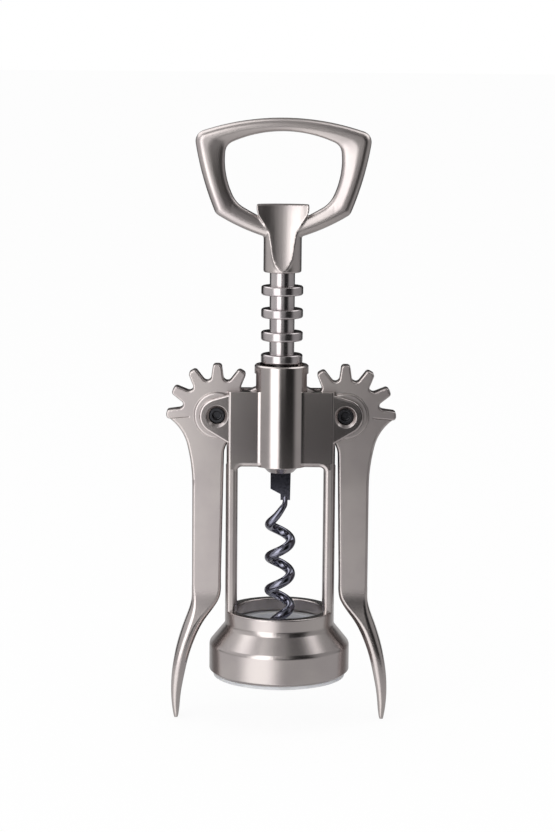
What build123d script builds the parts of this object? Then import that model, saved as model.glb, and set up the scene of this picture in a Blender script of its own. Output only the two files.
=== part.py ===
"""Lever corkscrew: a cast frame with a bell, two geared levers, a ringed sleeve and a wire worm.

All sizes are in millimetres.  The origin is the centre of the bell's foot, +Z runs up the worm's
axis to the handle, +X points to the right-hand lever and the front faces -Y.
"""

from build123d import *

import os
from itertools import product
from math import cos, hypot, pi, radians, sin, sqrt, tan

# ---------------------------------------------------------------- fits and clearances
running_clearance = 0.05  # a shaft or pin that turns in its hole
press_clearance = 0.02  # a pin that is driven into its hole
guide_clearance = 0.25  # the sleeve's rings in the barrel
side_clearance = 0.2  # a lever between its two cheeks
tip_clearance = 0.5  # the teeth's tips and the hub's rim in their pocket
mesh_clearance = 0.25  # the teeth's tips over the sleeve's core
seat_clearance = 0.1  # the plastic liner in the bell
leg_clearance = 0.6  # a hanging lever beside its leg
touching = 0.01  # a point this near to a face or a circle counts as lying on it

# ---------------------------------------------------------------- bell and liner
bottle_radius = 15.2  # for a wine bottle's finish, which is about 29.5 mm across
bottle_depth = 11.5
bottle_stop_step = 3.7  # width of the step that the bottle's lip meets
liner_wall = 1.2
liner_groove = 1.9
liner_groove_depth = 9.0
liner_rib_count = 12
liner_rib = 1.0
bell_wall = 1.6
bell_edge = 1.0  # chamfer round the bell's foot
liner_rim = 1.0  # plastic that stands below the metal
shoulder_start = 10.0  # height where the bell's wall turns into its cone
shoulder_end = 15.8  # height where the cone meets the neck
neck_step = 4.7  # how much narrower the neck is than the bell
neck_wall = 3.0
rim_height = 20.3
rim_round = 0.4
shoulder_round = 2.0
neck_round = 2.4
foot_round = 0.4
liner_rim_inset = 0.3
liner_top_step = 0.5  # how much wider the liner's top is than the neck above it

# ---------------------------------------------------------------- sleeve and gear
ring_pitch = 6.8
ring_count = 8
ring_radius = 6.25
ring_thickness = 2.8
ring_round = 0.6
core_radius = 3.75
top_ring_height = 117.2
sleeve_neck = 5.3  # above the middle of the top ring
collar_length = 7.2  # below the middle of the lowest ring
collar_taper = 2.4
mesh_ring = 6  # the hub's first tooth lies above this ring, counted from the top, from 0
teeth_per_turn = 12
tooth_count = 7
addendum = 2.2
dedendum = 2.4
valley_radius = 1.25
flank_angle = 23.0
tooth_round = 1.0

# ---------------------------------------------------------------- frame above the bell
leg_depth = 5.3  # half, front to back
leg_round = 0.7
window_edge = 1.3  # rounding of the legs' and the web's edges in the window
web_drop = 15.3  # underside of the web below the pivots
web_rise = 7.4  # top of the web above the pivots
barrel_radius = 8.1
barrel_rim = 2.6  # height of the barrel's closed top, above the slot for the teeth
barrel_rise = 15.2  # top of the barrel above the pivots
window_round = 1.3
barrel_blend = 2.0
cheek_depth = 5.1  # half, front to back
cheek_radius = 5.3
cheek_round = 0.6
cheek_foot_rise = 8.7  # the cheeks' lower corner on the leg, below the pivots

# ---------------------------------------------------------------- levers
lever_thickness = 5.2
hub_radius = 7.0
hub_web = 8.6  # radius of the hub's flat where it has no teeth
hub_thickness = 6.8
hub_round = 0.7
arm_width = 8.7
arm_lean = 1.12  # degrees that the arm's inner edge leans out on its way down
arm_start_drop = 21.8  # below the pivot
arm_length = 30.0
arm_foot = 3.0  # the bar's last stretch, which doesn't lean
arm_round = 0.8
tooth_edge = 0.5
arm_flare = 1.6  # how far the arm's inner edge curves back in below the hub
arm_flare_start = 12.1  # below the pivot
arm_flare_end = 7.7
last_tooth_drop = 5.0  # degrees from the outermost tooth's middle to its lower corner
waist_flare = 1.6
waist_drop = 9.0  # below the pivot
# level cuts through the thumb pad: drop below the bar, how far the inner and outer edges have moved
# outwards, depth front to back, and corner radius
pad_cuts = [
    (3.5, 0.2, 0.05, 5.4, 1.13),
    (7.0, 1.9, 0.6, 6.2, 1.74),
    (11.4, 5.05, 2.15, 7.8, 2.32),
    (16.0, 7.45, 3.7, 9.4, 2.28),
    (20.7, 9.2, 4.95, 10.6, 2.05),
    (27.0, 10.75, 5.95, 11.2, 1.79),
    (33.2, 11.9, 6.15, 10.6, 1.36),
    (38.0, 12.45, 5.8, 8.6, 0.94),
    (41.4, 12.95, 5.3, 5.0, 0.48),
]
pivot_pin_radius = 2.4
pivot_pin_dimple = 1.2
pivot_pin_dimple_depth = 1.5
pivot_pin_recess = 1.5  # below the cheek's face
pin_chamfer = 0.3
hole_chamfer = 0.9

# ---------------------------------------------------------------- spindle and worm
shaft_radius = 2.4
tang_thickness = 1.4
tang_width = 4.4
tang_length = 7.5
blade_width = 6.1
blade_length = 5.1
blade_slant = 2.4
blade_corner = (-0.02, 0.8)  # its lower corner beside the wire: across, and above the wire's end
blade_lap = 1.0  # how far it runs down inside the wire
wire_radius = 1.45
worm_radius = 3.2  # to the middle of the wire
worm_pitch = 10.1
worm_turns = 2.75
worm_neck_length = 8.6  # from the blade down to the coil
# two points that the neck's bend passes: across and to the front as shares of the worm's radius, and
# up from the coil as a share of its pitch
worm_neck_bend = ((-1 / 3, -0.7, 0.3), (1 / 4, -1 / 2, 0.55))
worm_neck_lean = (0, 0.3, 1)  # the wire's direction where it meets the blade
point_turns = 0.25
point_radius = 0.12
worm_pin_radius = 0.8
handle_pin_radius = 1.1

# ---------------------------------------------------------------- handle
shank_radius = 5.67
shank_length = 12.0
shank_spread = 2.0  # below the shank's top, where it begins to spread into the tab
socket_depth = 10.5
handle_pin_reach = 3.6  # how far the pin passes the shank's middle
handle_pin_sink = 0.25  # below the shank's surface
loop_depth = 3.6  # half, front to back, at the outer rim
loop_round = 2.2
# outlines of the loop: apex, upper corner, side's bulge, lower corner, sag of the lower edge and foot,
# each a half width and a height above the shank's lower face, then the two corners' radii
loop_rim = ((0, 45.6), (26.3, 40.8), (24.1, 29.6), (19.9, 17.3), (12.0, 13.1), (0, 9.2), (3.2, 2.5))
loop_ridge = ((0, 43.2), (23.6, 39.2), (21.6, 29.6), (17.7, 18.4), (11.0, 14.8), (0, 11.2), (3.2, 2.6))
loop_opening = ((0, 41.7), (16.9, 37.6), (16.9, 28.6), (13.6, 20.2), (7.6, 16.8), (0, 13.2), (3.6, 8.0))
# dished face between ridge and opening: share of the way in, share of the loop's half depth
loop_dish = [(0.0, 1.0), (0.35, 0.955), (0.7, 0.84), (0.92, 0.7), (1.0, 0.5)]
tab_rise = 20.2
tab_half_width = 7.7
tab_back = 2.6
tab_lean = 3.6  # how far the tab's front stands back from the tongue's
tongue_proud = 0.9
tongue_lean_rise = 5.0  # where the tongue's front begins to lean back
tongue_edge = [
    (tab_half_width, tab_rise),
    (tab_half_width, 18.2),
    (4.3, 12.2),
    (3.75, 8.7),
    (3.3, 5.2),
    (1.8, 1.6),
    (0, 0.2),
]
scoop_foot_radius = 12.0
scoop_foot_depth = 0.6
scoop_top_depth = 1.8

# ---------------------------------------------------------------- worked out from the above
groove_inner = bottle_radius + liner_wall
groove_outer = groove_inner + liner_groove
liner_radius = groove_outer + liner_wall
bell_bore = liner_radius + seat_clearance
bell_radius = bell_bore + bell_wall
neck_radius = bell_radius - neck_step
neck_bore = neck_radius - neck_wall
liner_stop_radius = bottle_radius - bottle_stop_step
pitch_radius = teeth_per_turn * ring_pitch / (2 * pi)
tip_radius = pitch_radius + addendum
root_radius = pitch_radius - dedendum
tooth_step = 360 / teeth_per_turn
pivot_x = core_radius + mesh_clearance + tip_radius
pivot_z = top_ring_height - (mesh_ring - 0.5) * ring_pitch
barrel_bore = ring_radius + guide_clearance
shoulder_rise = (shoulder_end - shoulder_start) / (bell_radius - neck_radius)
cone_length = hypot(1, shoulder_rise)
cheek_foot_x = sqrt(neck_radius**2 - cheek_depth**2) - leg_round
cheek_flat_x = neck_bore - leg_round
web_bottom = pivot_z - web_drop
web_top = pivot_z + web_rise
barrel_top = pivot_z + barrel_rise
lever_half = lever_thickness / 2
hub_half = hub_thickness / 2
ring_heights = [top_ring_height - index * ring_pitch for index in range(ring_count)]
sleeve_bottom = ring_heights[-1] - collar_length
sleeve_top = top_ring_height + sleeve_neck
shank_bottom = sleeve_top + seat_clearance
blade_top = sleeve_bottom - seat_clearance
sides = {"right": 1, "left": -1}


def cone_height(radius, wall):
    """Height of the bell's cone at a radius, measured on a surface that lies a wall deep inside it."""
    return shoulder_start + (bell_radius - radius) * shoulder_rise - wall * cone_length


def cheek_outline(side):
    """One cheek seen from the front: the web's end drawn out to a round eye about the pivot."""
    foot = pivot_z - cheek_foot_rise
    with BuildSketch() as outline:
        with Locations((side * pivot_x, pivot_z)):
            Circle(cheek_radius)
        Polygon(
            (side * barrel_radius, foot),
            (side * cheek_foot_x, foot),
            (side * cheek_flat_x, web_top),
            (side * barrel_radius, web_top),
            align=None,
        )
        make_hull()
    return outline.sketch


def on_window_edge(edge):
    """Whether an edge runs round the window's inside: up a leg's wall or along the web's underside."""
    middle = edge @ 0.5
    on_face = abs(abs(middle.Y) - leg_depth) < touching
    in_window = hypot(middle.X, middle.Y) < neck_bore + touching
    return on_face and in_window and middle.Z < web_bottom + touching


def on_cheek_face(edge):
    """Whether an edge lies in a cheek's front or back face."""
    return abs(abs((edge @ 0.5).Y) - cheek_depth) < touching


def on_barrel_foot(corner):
    """Whether a corner of the web's section is where it meets the barrel."""
    return hypot(corner.X, corner.Y) < barrel_radius + touching


# ---------------------------------------------------------------- frame
with BuildPart() as frame:
    # web and two legs, left standing beside a round-topped window
    with BuildSketch(Plane.XY.offset(shoulder_end)) as web_section:
        Circle(neck_radius)
        Rectangle(2 * neck_radius, 2 * leg_depth, mode=Mode.INTERSECT)
        fillet(web_section.vertices(), radius=leg_round)
        Circle(barrel_radius)
        fillet(web_section.vertices().filter_by(on_barrel_foot), radius=barrel_blend)
    extrude(amount=web_top - shoulder_end)
    with BuildSketch(Plane.XZ):
        with BuildLine():
            FilletPolyline(
                (0, shoulder_end),
                (neck_bore, shoulder_end),
                (neck_bore, web_bottom),
                (0, web_bottom),
                radius=[0, 0, window_round, 0],
                close=True,
            )
        make_face()
    revolve(axis=Axis.Z, mode=Mode.SUBTRACT)
    window_edges = frame.edges().filter_by(on_window_edge)
    fillet(window_edges, radius=window_edge)
    with BuildSketch(Plane.XY.offset(web_bottom)):
        Circle(barrel_radius)
    extrude(amount=barrel_top - web_bottom)
    chamfer(frame.edges().group_by(Axis.Z)[-1], length=rim_round)
    # bell
    with BuildSketch(Plane.XZ):
        with BuildLine():
            FilletPolyline(
                (bell_bore, liner_rim),
                (bell_radius - bell_edge, liner_rim),
                (bell_radius, liner_rim + bell_edge),
                (bell_radius, shoulder_start),
                (neck_radius, shoulder_end),
                (neck_radius, rim_height),
                (neck_bore, rim_height),
                (neck_bore, cone_height(neck_bore, bell_wall)),
                (bell_bore, cone_height(bell_bore, bell_wall)),
                radius=[0, foot_round, foot_round, shoulder_round, neck_round, rim_round, rim_round, 0, 0],
                close=True,
            )
        make_face()
    revolve(axis=Axis.Z)
    # cheeks that carry the levers' pivots
    with BuildPart() as cheeks:
        with BuildSketch(Plane.XZ):
            for side in sides.values():
                add(cheek_outline(side))
        extrude(amount=cheek_depth, both=True)
        fillet(cheeks.edges().filter_by(on_cheek_face), radius=cheek_round)
    # barrel's bore, and each side the pocket for the teeth, the seat for the hub and the pin's hole
    with BuildSketch(Plane.XY.offset(web_bottom)):
        Circle(barrel_bore)
    extrude(amount=barrel_top - web_bottom, mode=Mode.SUBTRACT)
    pivots = [(side * pivot_x, pivot_z) for side in sides.values()]
    for radius, half_depth in (
        (tip_radius + tip_clearance, lever_half + side_clearance),
        (hub_radius + tip_clearance, hub_half + side_clearance),
    ):
        with BuildSketch(Plane.XZ):
            with Locations(*pivots):
                Circle(radius)
        extrude(amount=half_depth, both=True, mode=Mode.SUBTRACT)
    with BuildSketch(Plane.XZ):
        with Locations((0, web_top)):
            Rectangle(
                2 * barrel_radius,
                barrel_top - barrel_rim - web_top,
                align=(Align.CENTER, Align.MIN),
            )
    extrude(amount=lever_half + side_clearance, both=True, mode=Mode.SUBTRACT)
    for side, face in product(sides.values(), (1, -1)):
        with Locations(Plane((side * pivot_x, face * cheek_depth, pivot_z), z_dir=(0, face, 0))):
            CounterSinkHole(
                radius=pivot_pin_radius + press_clearance,
                counter_sink_radius=pivot_pin_radius + hole_chamfer,
                depth=cheek_depth,
                counter_sink_angle=90,
            )

# ---------------------------------------------------------------- plastic liner in the bell
liner_depth = bell_wall + seat_clearance  # its skin's depth below the bell's outside
liner_top_radius = neck_bore + liner_top_step
liner_top = cone_height(liner_top_radius, liner_depth)
with BuildPart() as bottle_guide:
    with BuildSketch(Plane.XZ):
        with BuildLine():
            Polyline(
                (bottle_radius, 0),
                (bell_radius - bell_edge - liner_rim_inset, 0),
                (bell_radius - bell_edge - liner_rim_inset, liner_rim),
                (liner_radius, liner_rim),
                (liner_radius, cone_height(liner_radius, liner_depth)),
                (liner_top_radius, liner_top),
                (liner_stop_radius, liner_top),
                (liner_stop_radius, bottle_depth),
                (bottle_radius, bottle_depth),
                close=True,
            )
        make_face()
    revolve(axis=Axis.Z)
    # ribbed groove between the bottle's wall and the skin, open below
    with BuildSketch():
        Circle(groove_outer)
        Circle(groove_inner, mode=Mode.SUBTRACT)
        with PolarLocations((groove_inner + groove_outer) / 2, liner_rib_count):
            Rectangle(groove_outer - groove_inner + liner_wall, liner_rib, mode=Mode.SUBTRACT)
    extrude(amount=liner_groove_depth, mode=Mode.SUBTRACT)


# ---------------------------------------------------------------- pivot pins
def pivot_pin(side):
    """A pin through one pair of cheeks, sunk at both ends and drilled in its middle."""
    half_length = cheek_depth - pivot_pin_recess
    with BuildPart() as pin:
        with BuildSketch(Plane.XZ):
            with Locations((side * pivot_x, pivot_z)):
                Circle(pivot_pin_radius)
        extrude(amount=half_length, both=True)
        chamfer(pin.edges(), length=pin_chamfer)
        for face in (1, -1):
            with Locations(Plane((side * pivot_x, face * half_length, pivot_z), z_dir=(0, face, 0))):
                CounterSinkHole(
                    radius=pivot_pin_dimple,
                    counter_sink_radius=pivot_pin_dimple + pin_chamfer,
                    depth=pivot_pin_dimple_depth,
                    counter_sink_angle=90,
                )
    return pin


pivot_pin_right = pivot_pin(sides["right"])
pivot_pin_left = pivot_pin(sides["left"])

# ---------------------------------------------------------------- levers
arm_inner_top = neck_radius + leg_clearance
arm_start = pivot_z - arm_start_drop
arm_end = arm_start - arm_length
arm_inner = arm_inner_top + tan(radians(arm_lean)) * (pivot_z - arm_flare_start - arm_end - arm_foot)
arm_outer = arm_inner + arm_width
last_tooth_root = (
    pivot_x + (tip_radius - tooth_round) * cos(radians(last_tooth_drop)),
    pivot_z - (tip_radius - tooth_round) * sin(radians(last_tooth_drop)),
)


def tooth_valley():
    """The gap between two teeth, drawn along +X from the pivot: a round foot that widens outwards."""
    foot = root_radius + valley_radius
    lean = radians(flank_angle)
    near = (foot - valley_radius * sin(lean), valley_radius * cos(lean))
    reach = tip_radius + valley_radius
    far = (reach, near[1] + (reach - near[0]) * tan(lean))
    with BuildSketch() as valley:
        with Locations((foot, 0)):
            Circle(valley_radius)
        Polygon(near, far, (far[0], -far[1]), (near[0], -near[1]), align=None)
    return valley.sketch


def on_tooth_tip(corner):
    """Whether a corner of the toothed sector lies on the teeth's tip circle."""
    return hypot(corner.X, corner.Y) > tip_radius - touching


def toothed_sector():
    """The hub's teeth about the origin, from the outermost, along +X, round to the one in mesh."""
    valley = tooth_valley()
    swept = last_tooth_drop + (tooth_count - 0.5) * tooth_step
    with BuildSketch() as sector:
        with BuildLine():
            rim = CenterArc((0, 0), tip_radius, -last_tooth_drop, swept)
            Line(rim @ 1, (0, 0))
            Line((0, 0), rim @ 0)
        make_face()
        Circle(hub_web)
        with PolarLocations(0, tooth_count, tooth_step / 2, tooth_count * tooth_step):
            add(valley, mode=Mode.SUBTRACT)
        fillet(sector.vertices().filter_by(on_tooth_tip), radius=tooth_round)
    return sector.sketch


def pad_section(drop, inner, outer, depth, corner):
    """One level cut through the arm's lower end, a drop below the flat bar."""
    width = arm_width - inner + outer
    middle = arm_outer + outer - width / 2
    with BuildSketch(Plane((middle, 0, arm_end - drop))) as cut:
        RectangleRounded(width, depth, corner)
    return cut.sketch


def on_lever_face(edge):
    """Whether an edge lies in the lever's flat front or back."""
    return abs(abs((edge @ 0.5).Y) - lever_half) < touching


def on_arm_edge(edge):
    """Whether an edge runs along the bar or its flares, above the bar's cut end and outside the hub."""
    middle = edge @ 0.5
    from_pivot = hypot(middle.X - pivot_x, middle.Z - pivot_z)
    return on_lever_face(edge) and middle.Z > arm_end + lever_half / 2 and from_pivot > root_radius


with BuildPart() as lever_right:
    # toothed hub, whose first tooth points at the sleeve and whose last points away from it
    with BuildSketch(Plane.XZ):
        with Locations((pivot_x, pivot_z)):
            add(toothed_sector())
    extrude(amount=lever_half, both=True)
    fillet(lever_right.edges().filter_by(on_lever_face), radius=tooth_edge)
    # arm: a bar that flares out to the last tooth and in to the hub
    with BuildPart() as arm:
        with BuildSketch(Plane.XZ):
            with BuildLine():
                bar = Line((arm_outer, arm_end), (arm_outer, arm_start))
                waist = TangentArc(bar @ 1, (arm_outer + waist_flare, pivot_z - waist_drop), tangent=bar % 1)
                root = TangentArc(waist @ 1, last_tooth_root, tangent=waist % 1)
                inner = Line((arm_inner, arm_end + arm_foot), (arm_inner_top, pivot_z - arm_flare_start))
                flare = TangentArc(
                    inner @ 1, (arm_inner_top - arm_flare, pivot_z - arm_flare_end), tangent=inner % 1
                )
                Polyline(root @ 1, (pivot_x, pivot_z), flare @ 1)
                Polyline(inner @ 0, (arm_inner, arm_end), bar @ 0)
            make_face()
        extrude(amount=lever_half, both=True)
        fillet(arm.edges().filter_by(on_arm_edge), radius=arm_round)
        # thumb pad, flattened the other way; it starts with the bar's own section
        add(pad_section(0, 0, 0, lever_thickness, arm_round))
        for cut in pad_cuts:
            add(pad_section(*cut))
        loft()
    # hub's boss and bore
    with BuildPart() as boss:
        with BuildSketch(Plane.XZ):
            with Locations((pivot_x, pivot_z)):
                Circle(hub_radius)
        extrude(amount=hub_half, both=True)
        fillet(boss.edges(), radius=hub_round)
    with BuildSketch(Plane.XZ):
        with Locations((pivot_x, pivot_z)):
            Circle(pivot_pin_radius + running_clearance)
    extrude(amount=hub_half, both=True, mode=Mode.SUBTRACT)

with BuildPart() as lever_left:
    mirror(lever_right.part, about=Plane.YZ)


# ---------------------------------------------------------------- ringed sleeve
def on_ring_rim(corner):
    """Whether a corner of the sleeve's section lies on the rings' outer circle."""
    return corner.X > ring_radius - touching


with BuildPart() as rack_sleeve:
    with BuildSketch(Plane.XZ) as sleeve_profile:
        with Locations((0, sleeve_bottom)):
            Rectangle(core_radius, sleeve_top - sleeve_bottom, align=(Align.MIN, Align.MIN))
        with Locations(*[(0, height) for height in ring_heights]):
            Rectangle(ring_radius, ring_thickness, align=(Align.MIN, Align.CENTER))
        Polygon(
            (0, sleeve_bottom),
            (ring_radius - collar_taper, sleeve_bottom),
            (ring_radius, sleeve_bottom + collar_taper),
            (ring_radius, ring_heights[-1]),
            (0, ring_heights[-1]),
            align=None,
        )
        fillet(sleeve_profile.vertices().filter_by(on_ring_rim), radius=ring_round)
    revolve(axis=Axis.Z)
    with BuildSketch(Plane.XY.offset(sleeve_bottom)):
        Circle(shaft_radius + running_clearance)
    extrude(amount=sleeve_top - sleeve_bottom, mode=Mode.SUBTRACT)

# ---------------------------------------------------------------- shaft inside the sleeve
shaft_top = shank_bottom + socket_depth
worm_pin_height = blade_top + tang_length / 2
handle_pin_height = shank_bottom + shank_length / 2
with BuildPart() as spindle_shaft:
    with BuildSketch(Plane.XY.offset(blade_top)):
        Circle(shaft_radius)
    extrude(amount=shaft_top - blade_top)
    chamfer(spindle_shaft.edges().group_by(Axis.Z)[-1], length=pin_chamfer)
    # slot for the worm's tang
    with BuildSketch(Plane.XZ):
        with Locations((0, blade_top)):
            Rectangle(2 * shaft_radius, tang_length, align=(Align.CENTER, Align.MIN))
    extrude(amount=tang_thickness / 2 + press_clearance, both=True, mode=Mode.SUBTRACT)
    for height, radius in ((worm_pin_height, worm_pin_radius), (handle_pin_height, handle_pin_radius)):
        with BuildSketch(Plane.XZ):
            with Locations((0, height)):
                Circle(radius + press_clearance)
        extrude(amount=shaft_radius, both=True, mode=Mode.SUBTRACT)

# its flat ends stay inside the shaft's round surface
worm_pin_half = sqrt(shaft_radius**2 - worm_pin_radius**2) - press_clearance
with BuildPart() as worm_pin:
    with BuildSketch(Plane.XZ):
        with Locations((0, worm_pin_height)):
            Circle(worm_pin_radius)
    extrude(amount=worm_pin_half, both=True)

# ---------------------------------------------------------------- worm
blade_bottom = blade_top - blade_length
wire_end = blade_bottom - blade_slant
worm_top = wire_end - worm_neck_length
point_start = worm_top - worm_turns * worm_pitch


def coil_path(bottom, turns):
    """A stretch of the worm's right-handed helix; it faces left where it reaches the worm's top."""
    heading = 180 + 360 * (bottom - worm_top) / worm_pitch
    return Pos(0, 0, bottom) * Rot(0, 0, heading) * Helix(worm_pitch, turns * worm_pitch, worm_radius)


worm_coil = coil_path(point_start, worm_turns)
worm_point = coil_path(point_start - point_turns * worm_pitch, point_turns)
worm_neck = Spline(
    worm_coil @ 1,
    *[(x * worm_radius, y * worm_radius, worm_top + up * worm_pitch) for x, y, up in worm_neck_bend],
    (wire_radius, 0, wire_end),
    tangents=(worm_coil % 1, worm_neck_lean),
)
with BuildPart() as worm:
    # tang and shoulder blade, pressed flat from the wire
    with BuildSketch(Plane.XZ):
        with Locations((0, blade_top)):
            Rectangle(tang_width, tang_length - press_clearance, align=(Align.CENTER, Align.MIN))
        Polygon(
            (-blade_width / 2, blade_top),
            (-blade_width / 2, blade_bottom),
            (blade_corner[0], wire_end + blade_corner[1]),
            (0, wire_end - blade_lap),
            (2 * wire_radius, wire_end - blade_lap),
            (blade_width / 2, blade_top),
            align=None,
        )
    extrude(amount=tang_thickness / 2, both=True)
    with BuildSketch(Plane.XZ):
        with Locations((0, worm_pin_height)):
            Circle(worm_pin_radius + press_clearance)
    extrude(amount=tang_thickness, both=True, mode=Mode.SUBTRACT)

    # neck, coil and point of the wire
    for path, start_radius, end_radius in (
        (worm_neck, wire_radius, tang_thickness / 2),
        (worm_coil, wire_radius, wire_radius),
        (worm_point, point_radius, wire_radius),
    ):
        with BuildSketch(Plane(path @ 0, z_dir=path % 0)):
            Circle(start_radius)
        with BuildSketch(Plane(path @ 1, z_dir=path % 1)):
            Circle(end_radius)
        sweep(path=path, multisection=True, is_frenet=True)

# ---------------------------------------------------------------- handle
def loop_outline(apex, upper, bulge, lower, sag, foot, rounds):
    """A closed outline with an arched top, bulging sides and a shallow V foot, seen from the front."""

    def at(point, hand=1):
        """A corner of the outline on the front plane; a hand of -1 gives its mirror image."""
        return (hand * point[0], shank_bottom + point[1])

    with BuildSketch() as outline:
        with BuildLine():
            top = ThreePointArc(at(upper, -1), at(apex), at(upper))
            right = ThreePointArc(top @ 1, at(bulge), at(lower))
            keel = ThreePointArc(right @ 1, at(sag), at(foot))
            rise = ThreePointArc(keel @ 1, at(sag, -1), at(lower, -1))
            ThreePointArc(rise @ 1, at(bulge, -1), top @ 0)
        make_face()
        fillet(outline.vertices().sort_by(Axis.Y)[-2:], radius=rounds[0])
        fillet(outline.vertices().sort_by(Axis.Y)[1:3], radius=rounds[1])
    return outline.sketch


def on_loop_face(edge):
    """Whether an edge lies in the loop's flat front or back."""
    return abs(abs((edge @ 0.5).Y) - loop_depth) < touching


def between(outer, inner, share):
    """An outline's numbers a share of the way from one outline to another."""
    if isinstance(outer, tuple):
        return tuple(between(a, b, share) for a, b in zip(outer, inner))
    return outer + (inner - outer) * share


tab_top = shank_bottom + tab_rise
tongue_front = shank_radius + tongue_proud
tab_front = tongue_front - tab_lean
scoop_axis = tongue_front - scoop_foot_depth + scoop_foot_radius
scoop_top_radius = scoop_axis - tab_front + scoop_top_depth
with BuildPart() as handle:
    with BuildSketch(Plane.XZ):
        add(loop_outline(*loop_rim))
    extrude(amount=loop_depth, both=True)
    fillet(handle.edges().filter_by(on_loop_face), radius=loop_round)
    # dished faces that fall from the rim to the opening
    for face in (1, -1):
        for share, height in loop_dish:
            with BuildSketch(Plane.XZ.offset(face * height * loop_depth)):
                add(loop_outline(*between(loop_ridge, loop_opening, share)))
        loft(mode=Mode.SUBTRACT)
    with BuildSketch(Plane.XZ):
        add(loop_outline(*loop_opening))
    extrude(amount=loop_depth, both=True, mode=Mode.SUBTRACT)
    # round shank that spreads into the opener's tab
    with BuildSketch(Plane.XY.offset(shank_bottom)):
        Circle(shank_radius)
    extrude(amount=shank_length - shank_spread)
    with BuildSketch(Plane.XY.offset(shank_bottom + shank_length - shank_spread)):
        Ellipse(shank_radius, shank_radius)
    with BuildSketch(Plane.XY.offset(tab_top)):
        Ellipse(tab_half_width, tab_back)
    loft()
    # tongue in front, a tapering rib that is hollowed by the scoop
    with BuildSketch(Plane.XZ):
        with BuildLine():
            edge = Spline(*[(width, shank_bottom + height) for width, height in tongue_edge])
            Line(edge @ 0, (0, tab_top))
            mirror(about=Plane.YZ)
        make_face()
    extrude(amount=tongue_front)
    with BuildSketch(Plane.YZ):
        Polygon(
            (-tongue_front, shank_bottom + tongue_lean_rise),
            (-tab_front, tab_top),
            (-tongue_front, tab_top),
            align=None,
        )
    extrude(amount=2 * tab_half_width, both=True, mode=Mode.SUBTRACT)
    with Locations((0, -scoop_axis, shank_bottom + tab_rise / 2)):
        Cone(scoop_foot_radius, scoop_top_radius, tab_rise, mode=Mode.SUBTRACT)
    # socket for the shaft and the blind hole for its pin, drilled from the back
    with BuildSketch(Plane.XY.offset(shank_bottom)):
        Circle(shaft_radius + press_clearance)
    extrude(amount=socket_depth + press_clearance, mode=Mode.SUBTRACT)
    with BuildSketch(Plane.XZ.offset(handle_pin_reach)):
        with Locations((0, handle_pin_height)):
            Circle(handle_pin_radius + press_clearance)
    extrude(amount=-handle_pin_reach - shank_radius, mode=Mode.SUBTRACT)

with BuildPart() as handle_pin:
    with BuildSketch(Plane.XZ.offset(handle_pin_reach - press_clearance)):
        with Locations((0, handle_pin_height)):
            Circle(handle_pin_radius)
    extrude(amount=-handle_pin_reach - shank_radius + handle_pin_sink)

# ---------------------------------------------------------------- files
pieces = {
    "frame": frame,
    "bottle_guide": bottle_guide,
    "pivot_pin_left": pivot_pin_left,
    "pivot_pin_right": pivot_pin_right,
    "lever_left": lever_left,
    "lever_right": lever_right,
    "rack_sleeve": rack_sleeve,
    "spindle_shaft": spindle_shaft,
    "worm": worm,
    "worm_pin": worm_pin,
    "handle": handle,
    "handle_pin": handle_pin,
}
os.makedirs("parts", exist_ok=True)
for name, piece in pieces.items():
    piece.part.label = name
    export_step(piece.part, f"parts/{name}.step")
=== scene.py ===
"""Looks for a lever corkscrew: satin nickel castings, bright turned steel and a dark wire worm.

Each sub-assembly is a class that knows its finishes and sizes and dresses its own CAD nodes.
Everything is in metres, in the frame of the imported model: +Z runs up to the handle, +X to the
right-hand lever, and the front faces -Y.
"""

from __future__ import annotations

import logging
import math
from dataclasses import dataclass
from enum import Enum
from typing import Any, Mapping, Optional, Union

import bpy
from mathutils import Matrix, Vector


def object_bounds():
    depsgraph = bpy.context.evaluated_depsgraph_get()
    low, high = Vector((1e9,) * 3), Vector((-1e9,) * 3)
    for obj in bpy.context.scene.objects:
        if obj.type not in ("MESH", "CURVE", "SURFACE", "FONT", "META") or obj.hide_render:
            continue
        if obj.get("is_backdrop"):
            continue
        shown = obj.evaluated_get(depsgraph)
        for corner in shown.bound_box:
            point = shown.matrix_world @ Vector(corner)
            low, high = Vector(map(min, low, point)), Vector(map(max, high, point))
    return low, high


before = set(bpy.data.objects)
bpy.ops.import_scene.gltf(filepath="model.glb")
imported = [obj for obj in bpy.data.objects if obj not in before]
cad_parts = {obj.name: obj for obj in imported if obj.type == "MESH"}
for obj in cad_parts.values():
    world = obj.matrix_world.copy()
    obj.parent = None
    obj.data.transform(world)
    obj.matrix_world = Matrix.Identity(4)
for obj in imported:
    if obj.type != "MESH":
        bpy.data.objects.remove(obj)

LOG = logging.getLogger("corkscrew")

Colour = tuple[float, float, float]
Triple = tuple[float, float, float]
Range = tuple[float, float]

WHITE: Colour = (1.0, 1.0, 1.0)
# past every part of the object, in metres
FAR = 1.0
# the middle of a noise that runs from 0 to 1
NOISE_MEAN = 0.5
BEVEL_SAMPLES = 6
# cosine between the plain and the rounded normal where wear starts, and where it is full
WEAR_COSINES: Range = (0.995, 0.85)


# ------------------------------------------------------------------ shader graph


@dataclass(frozen=True)
class Noise:
    """One layer of noise.

    Size is the width of one blotch, in metres. Stretch multiplies each axis first, so a small
    number draws the noise out along it. Detail is the number of finer octaves, and rough is how
    strong they are.
    """

    size: float
    stretch: Triple = (1.0, 1.0, 1.0)
    detail: float = 3.0
    rough: float = 0.5


@dataclass(frozen=True)
class Relief:
    """A bump.

    Depth is what a height of 1 is, and soften is the radius that sharp edges get below the bump,
    both in metres. Strength is how much of the bump shows.
    """

    depth: float
    strength: float
    soften: float


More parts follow.
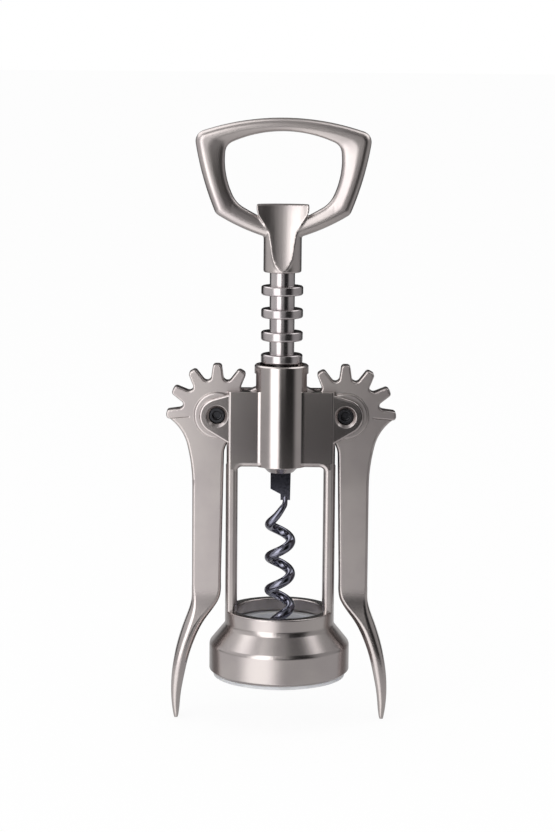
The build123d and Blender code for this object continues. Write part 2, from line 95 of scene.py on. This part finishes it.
@dataclass(frozen=True)
class Zone:
    """A stretch of a casting that is polished more or less than the rest.

    The limits are in metres: across is measured either way from the middle plane, and up from the
    origin's height.
    """

    roughness: float
    across: Range = (0.0, FAR)
    up: Range = (-FAR, FAR)
    fade: float = 0.0004


class Value:
    """One output socket of a node tree, with the operators that add Math nodes to it."""

    def __init__(self, graph: "Graph", socket: bpy.types.NodeSocket) -> None:
        """Wraps a socket.

        Args:
            graph: the graph that new nodes are added to.
            socket: the output that this value stands for.
        """
        self.graph = graph
        self.socket = socket

    def __add__(self, other: "Number") -> "Value":
        """Returns self + other."""
        return self.graph.math("ADD", self, other)

    def __sub__(self, other: "Number") -> "Value":
        """Returns self - other."""
        return self.graph.math("SUBTRACT", self, other)

    def __rsub__(self, other: "Number") -> "Value":
        """Returns other - self."""
        return self.graph.math("SUBTRACT", other, self)

    def __mul__(self, other: "Number") -> "Value":
        """Returns self * other."""
        return self.graph.math("MULTIPLY", self, other)

    def __abs__(self) -> "Value":
        """Returns the value without its sign."""
        return self.graph.math("ABSOLUTE", self)

    __radd__ = __add__
    __rmul__ = __mul__


Number = Union[Value, float, int]


class Graph:
    """The node tree of a material or a world, built from expressions."""

    def __init__(self, owner: Union[bpy.types.Material, bpy.types.World]) -> None:
        """Starts an empty tree.

        Args:
            owner: the new material or world that the nodes belong to.
        """
        owner.use_nodes = True
        self.owner = owner
        self.tree = owner.node_tree
        self.tree.nodes.clear()

    def node(
        self,
        kind: str,
        settings: Optional[Mapping[str, Any]] = None,
        inputs: Optional[Mapping[Union[str, int], Any]] = None,
    ) -> bpy.types.Node:
        """Adds one node.

        Args:
            kind: the node's type, without the ShaderNode prefix.
            settings: the node's attributes, set first.
            inputs: values or links for the node's input sockets.

        Returns:
            The new node.
        """
        made = self.tree.nodes.new("ShaderNode" + kind)
        for key, value in (settings or {}).items():
            setattr(made, key, value)
        for key, value in (inputs or {}).items():
            socket = made.inputs[key]
            if isinstance(value, Value):
                value = value.socket
            if isinstance(value, bpy.types.NodeSocket):
                self.tree.links.new(value, socket)
            else:
                socket.default_value = (*value, 1.0) if socket.type == "RGBA" else value
        return made

    def math(self, operation: str, *operands: Number) -> Value:
        """Adds a Math node.

        Args:
            operation: the Math node's operation.
            *operands: its values or links.

        Returns:
            The result.
        """
        made = self.node("Math", {"operation": operation}, dict(enumerate(operands)))
        return Value(self, made.outputs[0])

    def remap(self, value: Number, low: float, high: float) -> Value:
        """Maps low..high to 0..1 with clamped, smooth ends.

        Args:
            value: the value to map.
            low: the value that gives 0; it may be the greater of the two.
            high: the value that gives 1.

        Returns:
            The mapped value.
        """
        made = self.node(
            "MapRange",
            {"interpolation_type": "SMOOTHSTEP"},
            {"Value": value, "From Min": low, "From Max": high},
        )
        return Value(self, made.outputs["Result"])

    def place(self, stretch: Triple = (1.0, 1.0, 1.0)) -> bpy.types.NodeSocket:
        """Returns the point on the object, in metres, with each axis multiplied by stretch."""
        coords = self.node("TexCoord")
        scaled = self.node(
            "VectorMath", {"operation": "MULTIPLY"}, {0: coords.outputs["Object"], 1: stretch}
        )
        return scaled.outputs[0]

    def between(self, value: Value, limits: Range, fade: float) -> Value:
        """Returns 1 between two limits and 0 beyond them.

        Args:
            value: the value to test.
            limits: the lower and the upper limit.
            fade: how far beyond a limit the result reaches 0.

        Returns:
            The mask.
        """
        low, high = limits
        return self.remap(value, low - fade, low) * self.remap(value, high + fade, high)

    def inside(self, zone: Zone) -> Value:
        """Returns 1 inside a zone and 0 outside it, with faded edges."""
        parts = self.node("SeparateXYZ", inputs={0: self.place()}).outputs
        across = abs(Value(self, parts["X"]))
        up = Value(self, parts["Z"])
        return self.between(across, zone.across, zone.fade) * self.between(up, zone.up, zone.fade)

    def noise(self, layer: Noise) -> Value:
        """Returns a layer of noise from 0 to 1."""
        made = self.node(
            "TexNoise",
            inputs={
                "Vector": self.place(layer.stretch),
                "Scale": 1.0 / layer.size,
                "Detail": layer.detail,
                "Roughness": layer.rough,
            },
        )
        return Value(self, made.outputs["Fac"])

    def blend(self, factor: Number, a: Any, b: Any) -> bpy.types.NodeSocket:
        """Mixes two colours.

        Args:
            factor: 0 gives a, 1 gives b.
            a: a colour or a link.
            b: a colour or a link.

        Returns:
            The mixed colour.
        """
        made = self.node("Mix", {"data_type": "RGBA"}, {0: factor, 6: a, 7: b})
        return made.outputs[2]

    def rounded(self, radius: float) -> bpy.types.NodeSocket:
        """Returns the normal with edges rounded to a radius in metres."""
        return self.node("Bevel", {"samples": BEVEL_SAMPLES}, {"Radius": radius}).outputs[0]

    def edge_wear(self, reach: float) -> Value:
        """Returns about 1 along edges and corners and 0 on flats, measured reach metres in."""
        plain = self.node("NewGeometry").outputs["Normal"]
        match = self.node(
            "VectorMath", {"operation": "DOT_PRODUCT"}, {0: self.rounded(reach), 1: plain}
        )
        return self.remap(Value(self, match.outputs["Value"]), *WEAR_COSINES)

    def bump(self, height: Number, relief: Relief) -> bpy.types.NodeSocket:
        """Adds a bump.

        Args:
            height: the height over the surface, from 0 to 1.
            relief: how deep and how strong it is.

        Returns:
            The bumped normal.
        """
        made = self.node(
            "Bump",
            inputs={
                "Height": height,
                "Distance": relief.depth,
                "Strength": relief.strength,
                "Normal": self.rounded(relief.soften),
            },
        )
        return made.outputs[0]

    def seen(self) -> Value:
        """Returns 1 on camera, glossy and transmission rays and 0 on the others."""
        path = self.node("LightPath").outputs
        rays = ("Is Camera Ray", "Is Glossy Ray", "Is Transmission Ray")
        eye, shine, glass = (Value(self, path[ray]) for ray in rays)
        return self.math("MAXIMUM", eye, self.math("MAXIMUM", shine, glass))

    def surface(self, inputs: Mapping[str, Any]) -> bpy.types.Material:
        """Ends the tree with a Principled surface.

        Args:
            inputs: values or links of its sockets.

        Returns:
            The finished material.
        """
        shader = self.node("BsdfPrincipled", inputs=inputs)
        self.node("OutputMaterial", inputs={"Surface": shader.outputs[0]})
        return self.owner


# ------------------------------------------------------------------ finishes


@dataclass(frozen=True)
class SatinNickel:
    """Nickel plate over a bead-blasted zinc casting, rubbed brighter along its edges."""

    name: str = "satin_nickel"
    colour: Colour = (0.52, 0.475, 0.46)
    shade: Colour = (0.47, 0.425, 0.42)
    worn: Colour = (0.66, 0.62, 0.6)
    roughness: float = 0.33
    zones: tuple[Zone, ...] = ()
    blotch: Noise = Noise(0.012, detail=4.0)
    blotch_tones: Range = (0.35, 0.7)
    blotch_rough: float = 0.04
    grain: Noise = Noise(0.00022, detail=2.0, rough=0.7)
    grain_rough: float = 0.25
    grain_height: float = 0.7
    brush: Noise = Noise(0.0003, stretch=(1.0, 1.0, 0.03), detail=4.0)
    brush_height: float = 0.3
    edge: float = 0.00045
    wear_tone: float = 0.6
    wear_shine: float = 0.3
    relief: Relief = Relief(depth=0.00002, strength=0.35, soften=0.0002)

    def material(self) -> bpy.types.Material:
        """Returns the plate's material."""
        graph = Graph(bpy.data.materials.new(self.name))
        blotch = graph.noise(self.blotch)
        grain = graph.noise(self.grain)
        brush = graph.noise(self.brush)
        wear = graph.edge_wear(self.edge)
        tone = graph.blend(graph.remap(blotch, *self.blotch_tones), self.colour, self.shade)
        tone = graph.blend(wear * self.wear_tone, tone, self.worn)
        rough = self.roughness + (blotch - NOISE_MEAN) * self.blotch_rough
        for zone in self.zones:
            rough = rough + (zone.roughness - rough) * graph.inside(zone)
        rough = rough * (1.0 + (grain - NOISE_MEAN) * self.grain_rough - wear * self.wear_shine)
        height = grain * self.grain_height + brush * self.brush_height
        return graph.surface(
            {
                "Base Color": tone,
                "Metallic": 1.0,
                "Roughness": rough,
                "Normal": graph.bump(height, self.relief),
            }
        )


@dataclass(frozen=True)
class TurnedSteel:
    """Bright bar turned in a lathe: fine rings round the axis and a soft shine."""

    name: str = "bright_steel"
    colour: Colour = (0.56, 0.52, 0.52)
    shade: Colour = (0.48, 0.44, 0.45)
    roughness: float = 0.2
    rings: Noise = Noise(0.00018, stretch=(0.05, 0.05, 1.0), detail=4.0, rough=0.7)
    rings_rough: float = 0.12
    smear: Noise = Noise(0.006)
    smear_tones: Range = (0.35, 0.7)
    smear_rough: float = 0.08
    edge: float = 0.0003
    wear_shine: float = 0.05
    relief: Relief = Relief(depth=0.00001, strength=0.3, soften=0.00015)

    def material(self) -> bpy.types.Material:
        """Returns the turned steel's material."""
        graph = Graph(bpy.data.materials.new(self.name))
        rings = graph.noise(self.rings)
        smear = graph.noise(self.smear)
        rough = (
            self.roughness
            + (rings - NOISE_MEAN) * self.rings_rough
            + (smear - NOISE_MEAN) * self.smear_rough
            - graph.edge_wear(self.edge) * self.wear_shine
        )
        return graph.surface(
            {
                "Base Color": graph.blend(
                    graph.remap(smear, *self.smear_tones), self.colour, self.shade
                ),
                "Metallic": 1.0,
                "Roughness": rough,
                "Normal": graph.bump(rings, self.relief),
            }
        )


@dataclass(frozen=True)
class DarkWire:
    """Hardened wire under a smooth, dark coating."""

    name: str = "dark_steel"
    colour: Colour = (0.2, 0.2, 0.25)
    bare: Colour = (0.34, 0.34, 0.39)
    roughness: float = 0.1
    draw: Noise = Noise(0.0008, detail=4.0, rough=0.6)
    draw_rough: float = 0.14
    edge: float = 0.00025
    wear_tone: float = 0.5
    relief: Relief = Relief(depth=0.00002, strength=0.25, soften=0.00012)

    def material(self) -> bpy.types.Material:
        """Returns the coated wire's material."""
        graph = Graph(bpy.data.materials.new(self.name))
        draw = graph.noise(self.draw)
        wear = graph.edge_wear(self.edge)
        return graph.surface(
            {
                "Base Color": graph.blend(wear * self.wear_tone, self.colour, self.bare),
                "Metallic": 1.0,
                "Roughness": self.roughness + (draw - NOISE_MEAN) * self.draw_rough,
                "Normal": graph.bump(draw, self.relief),
            }
        )


@dataclass(frozen=True)
class MilkyPlastic:
    """Moulded liner, pale and half clear."""

    name: str = "clear_plastic"
    colour: Colour = (0.65, 0.66, 0.69)
    shade: Colour = (0.53, 0.535, 0.56)
    roughness: float = 0.32
    flow: Noise = Noise(0.005)
    flow_tones: Range = (0.3, 0.7)
    flow_rough: float = 0.15
    pimples: Noise = Noise(0.0006, detail=2.0)
    relief: Relief = Relief(depth=0.00003, strength=0.2, soften=0.0002)
    cloud: float = 0.35
    cloud_reach: Triple = (0.004, 0.004, 0.005)
    refraction: float = 1.49

    def material(self) -> bpy.types.Material:
        """Returns the liner's material."""
        graph = Graph(bpy.data.materials.new(self.name))
        flow = graph.noise(self.flow)
        return graph.surface(
            {
                "Base Color": graph.blend(
                    graph.remap(flow, *self.flow_tones), self.colour, self.shade
                ),
                "Roughness": self.roughness + (flow - NOISE_MEAN) * self.flow_rough,
                "Subsurface Weight": self.cloud,
                "Subsurface Radius": self.cloud_reach,
                "Subsurface Scale": 1.0,
                "IOR": self.refraction,
                "Normal": graph.bump(graph.noise(self.pimples), self.relief),
            }
        )


# ------------------------------------------------------------------ sub-assemblies


class Side(Enum):
    """Which lever: the value is its sign along X."""

    LEFT = -1
    RIGHT = 1


class Assembly:
    """What every sub-assembly shares: dressing CAD nodes and reporting them."""

    def dress(self, node: str, finish: bpy.types.Material) -> None:
        """Gives a CAD node its material.

        Args:
            node: the CAD node's name.
            finish: the material for all of its faces.
        """
        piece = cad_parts[node]
        piece.data.materials.clear()
        piece.data.materials.append(finish)
        LOG.info("%s wears %s", node, finish.name)


@dataclass
class Body(Assembly):
    """The cast frame with its bell, the liner in the bell and the two pivot pins."""

    casting: SatinNickel = SatinNickel(
        roughness=0.3,
        zones=(
            Zone(0.17, across=(0.0, 0.0062), up=(0.0635, 0.1)),  # barrel
            Zone(0.18, across=(0.0064, 0.0148), up=(0.064, 0.0872)),  # web
            Zone(0.23, up=(-FAR, 0.0225)),  # bell
            Zone(0.17, across=(0.0152, 0.026), up=(0.066, 0.0885)),  # cheeks
        ),
    )
    liner: MilkyPlastic = MilkyPlastic()
    pin: DarkWire = DarkWire(
        colour=(0.05, 0.05, 0.055), bare=(0.2, 0.2, 0.21), roughness=0.28
    )

    def build(self) -> None:
        """Dresses the frame's nodes."""
        self.dress("frame", self.casting.material())
        self.dress("bottle_guide", self.liner.material())
        dark = self.pin.material()
        for side in Side:
            self.dress(f"pivot_pin_{side.name.lower()}", dark)


@dataclass
class Lever(Assembly):
    """One geared lever."""

    side: Side
    casting: SatinNickel = SatinNickel(
        roughness=0.36,
        zones=(
            Zone(0.22, up=(-FAR, 0.024), fade=0.004),  # thumb pad
            Zone(0.32, up=(0.06, 0.1), fade=0.004),  # toothed hub
        ),
    )

    def build(self) -> None:
        """Dresses the lever."""
        self.dress(f"lever_{self.side.name.lower()}", self.casting.material())


@dataclass
class Sleeve(Assembly):
    """The ringed sleeve that the levers drive."""

    finish: TurnedSteel = TurnedSteel()

    def build(self) -> bpy.types.Material:
        """Dresses the sleeve and returns its material."""
        bright = self.finish.material()
        self.dress("rack_sleeve", bright)
        return bright


@dataclass
class Spindle(Assembly):
    """The handle, its shaft and the worm."""

    casting: SatinNickel = SatinNickel(roughness=0.31)
    voxel: float = 0.00022
    smoothing: int = 14
    smoothing_factor: float = 0.5

    def build(self, bright: bpy.types.Material, dark: bpy.types.Material) -> None:
        """Dresses the spindle's nodes.

        Args:
            bright: the shaft's material.
            dark: the material of the worm and the cross pins.
        """
        self.dress("handle", self.casting.material())
        self._soften(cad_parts["handle"])
        self.dress("spindle_shaft", bright)
        for node in ("worm", "worm_pin", "handle_pin"):
            self.dress(node, dark)

    def _soften(self, handle: bpy.types.Object) -> None:
        """Softens the cast handle's creases with modifiers."""
        skin = handle.modifiers.new("skin", "REMESH")
        skin.mode = "VOXEL"
        skin.voxel_size = self.voxel
        skin.use_smooth_shade = True
        soft = handle.modifiers.new("soft", "SMOOTH")
        soft.factor = self.smoothing_factor
        soft.iterations = self.smoothing


# ------------------------------------------------------------------ studio


def direction(azimuth: float, elevation: float) -> Vector:
    """Returns the unit vector from the object towards a direction.

    Args:
        azimuth: in degrees; 0 is towards the camera and +90 is to the right.
        elevation: in degrees above the horizon.
    """
    a, e = math.radians(azimuth), math.radians(elevation)
    return Vector((math.sin(a) * math.cos(e), -math.cos(a) * math.cos(e), math.sin(e)))


@dataclass(frozen=True)
class Softbox:
    """A soft rectangular lamp that faces the object.

    Its azimuth and elevation from the object are in degrees, its distance, width and height in
    metres.
    """

    name: str
    azimuth: float
    elevation: float
    distance: float
    size: Range
    watts: float


@dataclass(frozen=True)
class Card:
    """A lit or black card of the surround, with soft edges.

    Azimuth 0 is towards the camera and +90 is to the right; elevation is above the horizon. Both
    ranges, the fade beyond the azimuths and the lift beyond the elevations are in degrees.
    """

    level: float
    azimuth: Range = (-180.0, 180.0)
    elevation: Range = (-90.0, 90.0)
    fade: float = 12.0
    lift: float = 6.0

    def cover(self, azimuth: float, elevation: float) -> float:
        """Returns how much of the card lies in one direction, from 0 to 1.

        Args:
            azimuth: in degrees.
            elevation: in degrees.
        """
        part = 1.0
        for angle, (low, high), fade in (
            (azimuth, self.azimuth, self.fade),
            (elevation, self.elevation, self.lift),
        ):
            outside = max(low - angle, angle - high, 0.0)
            share = max(0.0, 1.0 - outside / fade)
            part *= share * share * (3.0 - 2.0 * share)
        return part


@dataclass(frozen=True)
class Surround:
    """What the metal mirrors: a black sphere with cards that only its shine picks up.

    A later card lies over the earlier ones.
    """

    radius: float = 0.35
    step: int = 2
    base: float = 0.02
    cards: tuple[Card, ...] = (
        # behind, at both sides of the middle
        Card(0.55, azimuth=(-180, -152), elevation=(-90, -4), lift=3),
        Card(0.55, azimuth=(152, 180), elevation=(-90, -4), lift=3),
        # left and right, then the same sides at the sleeve's and the handle's height
        Card(0.53, azimuth=(-92, -50), fade=30),
        Card(0.45, azimuth=(72, 96), fade=24),
        Card(0.76, azimuth=(-112, -60), elevation=(-2, 30), fade=24, lift=4),
        Card(0.42, azimuth=(80, 120), elevation=(-2, 30), fade=24, lift=4),
        # the bright strip at the front left, and a grey one beside the camera
        Card(2.7, azimuth=(-40, -16)),
        Card(0.4, azimuth=(-4, 12), elevation=(-3, 46), fade=10, lift=3),
        # the table: all of it, its left, and the light on its front left
        Card(0.56, azimuth=(-120, 118), elevation=(-90, -17), fade=50, lift=3),
        Card(0.75, azimuth=(-105, -50), elevation=(-90, -17), fade=30, lift=3),
        Card(1.65, azimuth=(-45, -20), elevation=(-90, -17), fade=28, lift=3),
        # the ceiling: all of it, its lit left and right, and a dim patch
        Card(0.4, elevation=(52, 90)),
        Card(2.0, azimuth=(-140, -86), elevation=(36, 90), fade=35),
        Card(1.8, azimuth=(88, 130), elevation=(38, 90), fade=20),
        Card(0.2, azimuth=(30, 70), elevation=(52, 74)),
    )

    def level(self, azimuth: float, elevation: float) -> float:
        """Returns the grey level in one direction.

        Args:
            azimuth: in degrees.
            elevation: in degrees.
        """
        grey = self.base
        for card in self.cards:
            grey += (card.level - grey) * card.cover(azimuth, elevation)
        return grey

    def mesh(self, middle: Vector) -> bpy.types.Mesh:
        """Returns the sphere, with its grey levels as a colour attribute.

        Args:
            middle: the sphere's centre.
        """
        turns = range(-180, 180 + self.step, self.step)
        rises = range(-90, 90 + self.step, self.step)
        columns = len(turns)
        angles = [(turn, rise) for rise in rises for turn in turns]
        points = [tuple(middle + direction(*pair) * self.radius) for pair in angles]
        faces = [
            (r * columns + c, r * columns + c + 1, (r + 1) * columns + c + 1, (r + 1) * columns + c)
            for r in range(len(rises) - 1)
            for c in range(columns - 1)
        ]
        mesh = bpy.data.meshes.new("surround")
        mesh.from_pydata(points, [], faces)
        greys = mesh.color_attributes.new("level", "FLOAT_COLOR", "POINT")
        for point, pair in zip(greys.data, angles):
            point.color = (*[self.level(*pair)] * 3, 1.0)
        return mesh


@dataclass
class Studio:
    """Floor, white backdrop, lamps, mirrored surround and camera."""

    middle: Triple = (0.0, 0.0, 0.08)
    floor_gap: float = 0.0003
    floor_size: float = 30.0
    floor_colour: Colour = (0.92, 0.92, 0.92)
    floor_glow: float = 0.93
    camera_place: Triple = (-0.0011, -0.730, 0.191)
    camera_pitch: float = -8.7
    camera_roll: float = 0.5
    camera_lens: float = 106.5
    camera_sensor: float = 36.0
    ambient: float = 0.8
    backdrop: float = 1.0
    surround: Surround = Surround()
    lamps: tuple[Softbox, ...] = (
        Softbox("softbox_left", -34.0, 12.0, distance=1.0, size=(0.95, 1.1), watts=4.6),
        Softbox("softbox_top", -20.0, 74.0, distance=1.1, size=(0.7, 0.7), watts=1.8),
    )

    def build(self) -> None:
        """Sets up everything that isn't the object."""
        scene = bpy.context.scene
        scene.view_settings.view_transform = "Standard"
        self._world(scene)
        self._floor(scene)
        self._surround(scene)
        for softbox in self.lamps:
            self._lamp(scene, softbox)
        self._camera(scene)

    def _world(self, scene: bpy.types.Scene) -> None:
        """Makes the white world, which lights dull surfaces less than it shows."""
        world = bpy.data.worlds.new("surround")
        scene.world = world
        graph = Graph(world)
        level = graph.node(
            "MapRange",
            inputs={"Value": graph.seen(), "To Min": self.ambient, "To Max": self.backdrop},
        )
        back = graph.node("Background", inputs={"Color": WHITE, "Strength": level.outputs[0]})
        graph.node("OutputWorld", inputs={"Surface": back.outputs[0]})

    def _floor(self, scene: bpy.types.Scene) -> None:
        """Lays a plain pale floor just below the lowest point."""
        low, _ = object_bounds()
        half = self.floor_size / 2
        mesh = bpy.data.meshes.new("floor")
        corners = [(-half, -half, 0.0), (half, -half, 0.0), (half, half, 0.0), (-half, half, 0.0)]
        mesh.from_pydata(corners, [], [(0, 1, 2, 3)])
        graph = Graph(bpy.data.materials.new("floor"))
        paper = graph.node("BsdfDiffuse", inputs={"Color": self.floor_colour})
        glow = graph.node("Emission", inputs={"Color": WHITE, "Strength": 1.0})
        share = graph.seen() * self.floor_glow
        both = graph.node("MixShader", inputs={0: share, 1: paper.outputs[0], 2: glow.outputs[0]})
        graph.node("OutputMaterial", inputs={"Surface": both.outputs[0]})
        mesh.materials.append(graph.owner)
        floor = bpy.data.objects.new("floor", mesh)
        floor.location.z = low.z - self.floor_gap
        floor.visible_glossy = False
        scene.collection.objects.link(floor)
        floor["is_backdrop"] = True

    def _surround(self, scene: bpy.types.Scene) -> None:
        """Hangs the sphere that the metal mirrors and nothing else sees."""
        mesh = self.surround.mesh(Vector(self.middle))
        graph = Graph(bpy.data.materials.new("surround"))
        grey = graph.node("Attribute", {"attribute_name": "level"}).outputs["Color"]
        glow = graph.node("Emission", inputs={"Color": grey, "Strength": 1.0})
        graph.node("OutputMaterial", inputs={"Surface": glow.outputs[0]})
        mesh.materials.append(graph.owner)
        piece = bpy.data.objects.new("surround", mesh)
        piece.visible_camera = False
        piece.visible_diffuse = False
        piece.visible_shadow = False
        piece.visible_transmission = False
        scene.collection.objects.link(piece)
        piece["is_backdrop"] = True

    def _lamp(self, scene: bpy.types.Scene, softbox: Softbox) -> None:
        """Places one lamp.

        Args:
            scene: the scene that it joins.
            softbox: where it stands and how it shines.
        """
        light = bpy.data.lights.new(softbox.name, "AREA")
        light.shape = "RECTANGLE"
        light.size, light.size_y = softbox.size
        light.energy = softbox.watts
        lamp = bpy.data.objects.new(softbox.name, light)
        back = direction(softbox.azimuth, softbox.elevation)
        lamp.location = Vector(self.middle) + back * softbox.distance
        lamp.rotation_euler = back.to_track_quat("Z", "Y").to_euler()
        lamp.visible_glossy = False
        scene.collection.objects.link(lamp)

    def _camera(self, scene: bpy.types.Scene) -> None:
        """Places the camera a little above the handle, looking slightly down."""
        lens = bpy.data.cameras.new("camera")
        lens.lens = self.camera_lens
        lens.sensor_width = self.camera_sensor
        camera = bpy.data.objects.new("camera", lens)
        camera.location = self.camera_place
        tilt = Matrix.Rotation(math.radians(90.0 + self.camera_pitch), 3, "X")
        roll = Matrix.Rotation(math.radians(self.camera_roll), 3, "Z")
        camera.rotation_euler = (tilt @ roll).to_euler()
        scene.collection.objects.link(camera)
        scene.camera = camera


def main() -> None:
    """Builds the sub-assemblies in order, then the studio."""
    logging.basicConfig(level=logging.INFO, format="%(message)s")
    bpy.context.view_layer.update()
    dark = DarkWire().material()
    Body().build()
    for side in Side:
        Lever(side).build()
    bright = Sleeve().build()
    Spindle().build(bright, dark)
    Studio().build()


if __name__ == "__main__":
    main()
